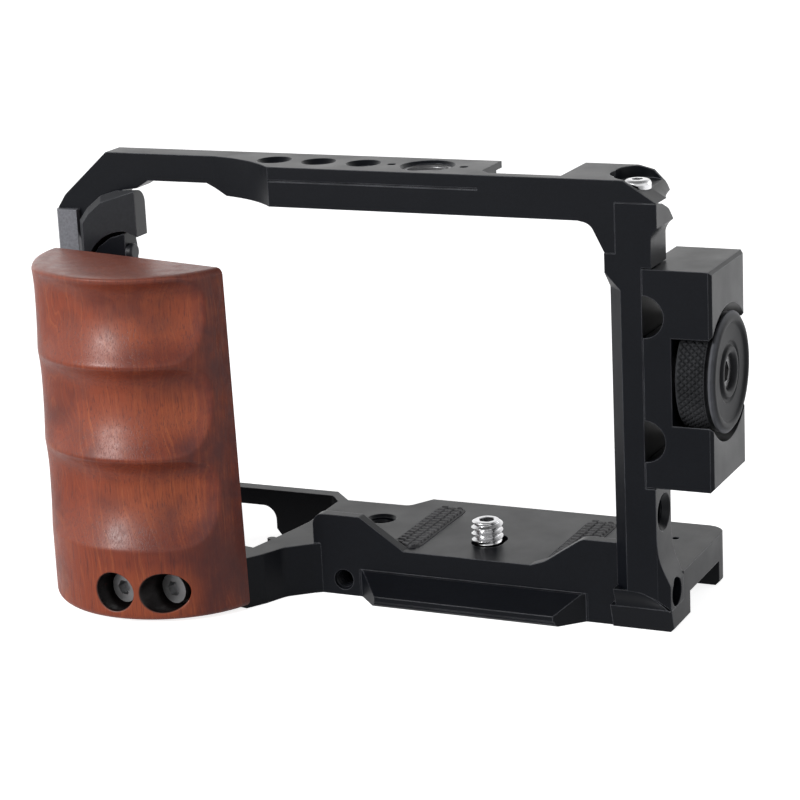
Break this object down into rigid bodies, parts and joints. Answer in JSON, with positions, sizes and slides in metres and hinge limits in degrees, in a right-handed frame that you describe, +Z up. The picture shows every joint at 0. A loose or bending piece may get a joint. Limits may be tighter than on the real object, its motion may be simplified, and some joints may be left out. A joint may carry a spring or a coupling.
{
  "type": "camera cage",
  "caption": "Machined camera cage with a wooden hand grip, a knob-driven cable clamp, a captive camera screw on ribbed pads and threaded accessory holes.",
  "frame": {"origin": "on the camera screw's axis, in the plane of the base plate's top face", "axes": "+X along the cage towards the cable clamp, +Y towards the back of the camera, +Z up along the camera screw"},
  "size_m": [0.1431, 0.0612, 0.0874],
  "materials": {
    "black_anodised": "satin anodised",
    "grey_anodised": "satin anodised",
    "knob_black": "bright anodised, turned",
    "steel": "bright stainless",
    "dark_steel": "blackened",
    "pad_rubber": "matt",
    "rosewood": "oiled and polished"
  },
  "bodies": {
    "cage": {"base_plate": "black_anodised", "right_upright": "black_anodised", "top_bar": "black_anodised", "left_post": "grey_anodised", "shoulder_lug": "grey_anodised", "grip_bracket": "black_anodised", "grip_body": "rosewood", "grip_bolts": "steel", "wood_screws": "steel", "lug_screw": "steel", "pad_left": "pad_rubber", "pad_right": "pad_rubber", "corner_bolt": "steel", "foot_bolt": "dark_steel", "post_bolt": "dark_steel", "lock_insert": "steel"},
    "carriage": {"screw_carriage": "dark_steel"},
    "screw": {"camera_screw": "steel"},
    "clamp": {"clamp_block": "black_anodised", "knob_washer": "dark_steel"},
    "knob": {"clamp_knob": "knob_black", "clamp_stud": "dark_steel"}
  },
  "joints": [
    {"name": "carriage_slide", "type": "slide", "parent": "cage", "child": "carriage", "axis": [0, 1, 0], "range_m": [0, 0.002]},
    {"name": "screw_turn", "type": "hinge", "parent": "carriage", "child": "screw", "pos_m": [0, 0, 0], "axis": [0, 0, 1], "continuous": true},
    {"name": "clamp_slide", "type": "slide", "parent": "cage", "child": "clamp", "axis": [1, 0, 0], "range_m": [0, 0.004]},
    {"name": "knob_turn", "type": "hinge", "parent": "clamp", "child": "knob", "pos_m": [0.045, -0.0036, 0.0396], "axis": [1, 0, 0], "range_deg": [0, 1800]}
  ],
  "couplings": [
    {"joint": "knob_turn", "follows": "clamp_slide", "rad_per_m": 7853.9}
  ]
}
